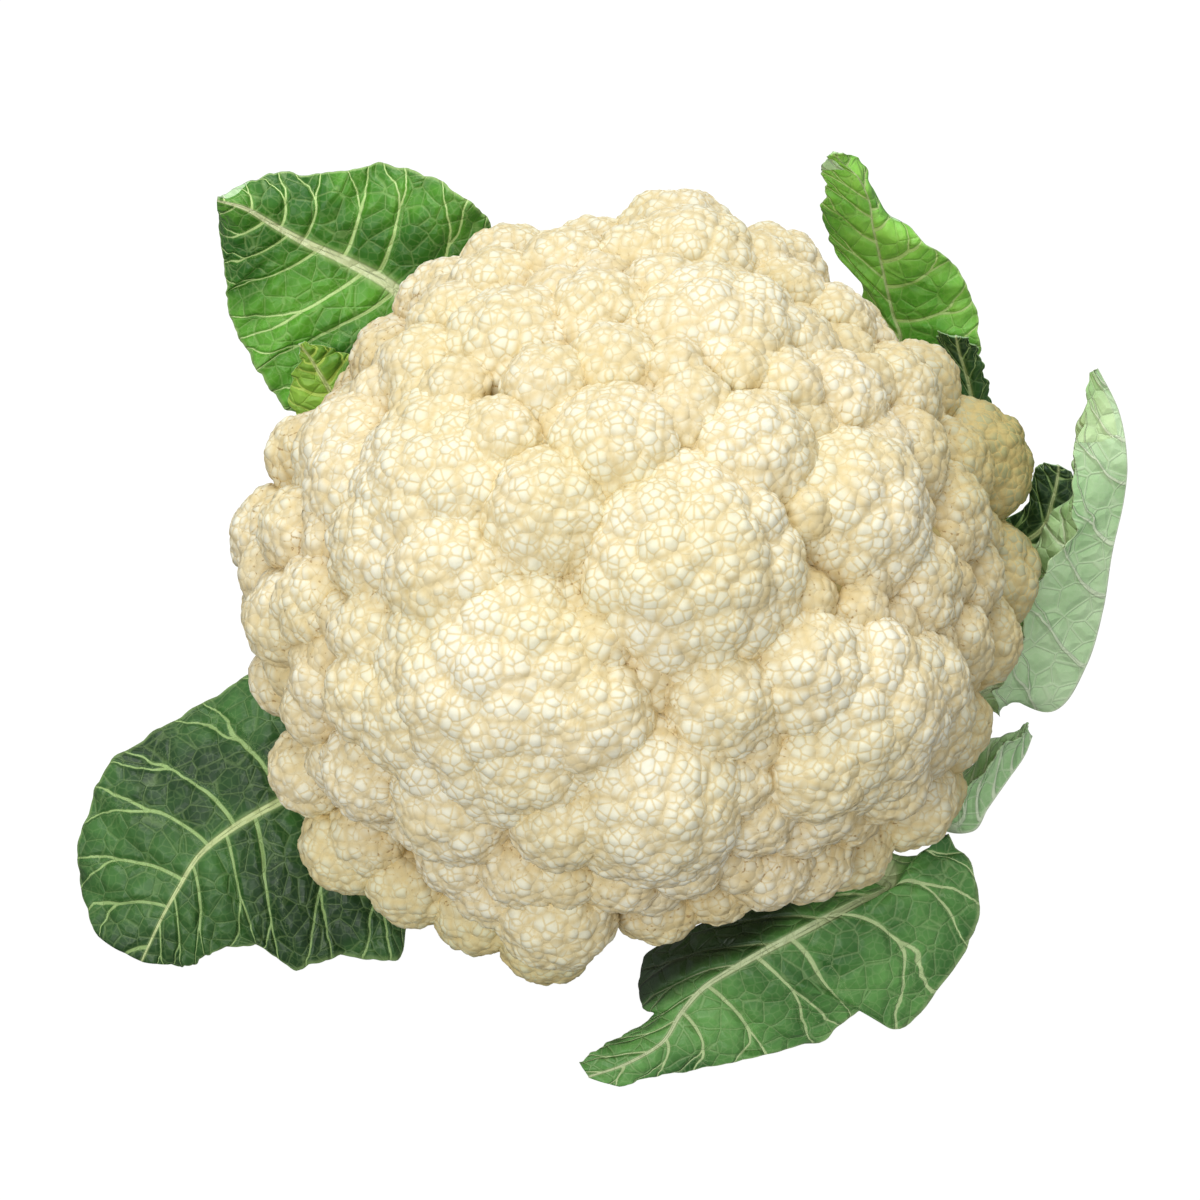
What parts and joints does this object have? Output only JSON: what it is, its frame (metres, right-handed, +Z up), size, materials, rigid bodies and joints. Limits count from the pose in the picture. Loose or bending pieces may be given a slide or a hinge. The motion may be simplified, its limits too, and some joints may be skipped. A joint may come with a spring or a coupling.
{
  "type": "cauliflower",
  "caption": "Whole fresh cauliflower: a dense white curd of florets on a short cut stalk, with green veined leaves round it.",
  "frame": {"origin": "middle of the stalk's flat cut face, which the head stands on", "axes": "+Z up from the cut face along the stalk to the top of the curd, -Y towards the side that shows both leaves lying on the surface"},
  "size_m": [0.2407, 0.203, 0.1671],
  "materials": {
    "curd": "matte",
    "stalk": "matte",
    "leaf": "satin"
  },
  "bodies": {
    "root": {"curd": "curd", "stalk": "stalk", "leaf_back_left": "leaf", "leaf_back_left_small": "leaf", "leaf_front_left": "leaf", "leaf_front_right": "leaf", "leaf_right": "leaf", "leaf_right_low": "leaf", "leaf_right_small": "leaf", "leaf_back_right": "leaf", "leaf_back_right_small": "leaf"}
  },
  "joints": []
}
